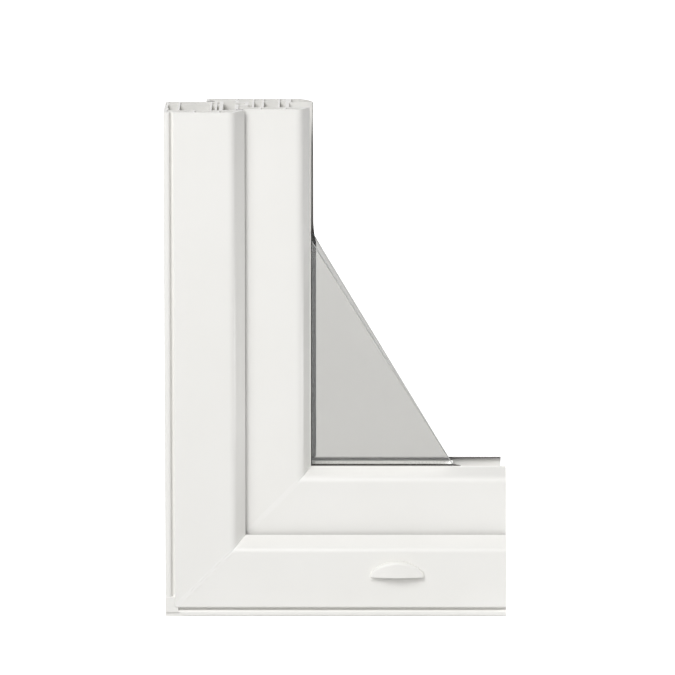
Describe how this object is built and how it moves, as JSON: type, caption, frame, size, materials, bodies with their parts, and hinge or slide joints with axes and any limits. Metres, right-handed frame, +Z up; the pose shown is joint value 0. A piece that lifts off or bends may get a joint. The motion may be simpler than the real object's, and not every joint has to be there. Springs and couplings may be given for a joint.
{
  "type": "corner sample of a fixed plastic window",
  "caption": "Welded lower-left corner of a white PVC fixed window: hollow frame and sash profiles with mitred joints, a triangular piece of insulating glass, clip-in beads and gaskets.",
  "frame": {"origin": "centre of the bounding box's footprint, on the underside of the sill that the sample stands on", "axes": "+Z up the stile, +X from the stile along the sill, +Y from outside towards the room, so the exterior face looks along -Y"},
  "size_m": [0.281, 0.097, 0.419],
  "materials": {
    "white_pvc": "satin",
    "white_moulding": "satin",
    "black_epdm": "matte",
    "float_glass": "gloss",
    "spacer_aluminium": "satin",
    "edge_sealant": "matte",
    "packer_plastic": "matte"
  },
  "bodies": {
    "root": {"frame_stile": "white_pvc", "frame_sill": "white_pvc", "sash_stile": "white_pvc", "sash_rail": "white_pvc", "bead_stile": "white_pvc", "bead_rail": "white_pvc", "frame_seal_stile": "black_epdm", "frame_seal_sill": "black_epdm", "sash_seal_stile": "black_epdm", "sash_seal_rail": "black_epdm", "glazing_gasket_stile": "black_epdm", "glazing_gasket_rail": "black_epdm", "bead_gasket_stile": "black_epdm", "bead_gasket_rail": "black_epdm", "outer_pane": "float_glass", "inner_pane": "float_glass", "spacer_stile": "spacer_aluminium", "spacer_rail": "spacer_aluminium", "edge_sealant_stile": "edge_sealant", "edge_sealant_rail": "edge_sealant", "butyl_stile": "edge_sealant", "butyl_rail": "edge_sealant", "drain_cap": "white_moulding", "setting_block": "packer_plastic", "side_block": "packer_plastic", "sash_packer_sill": "packer_plastic", "sash_packer_stile": "packer_plastic"}
  },
  "joints": []
}
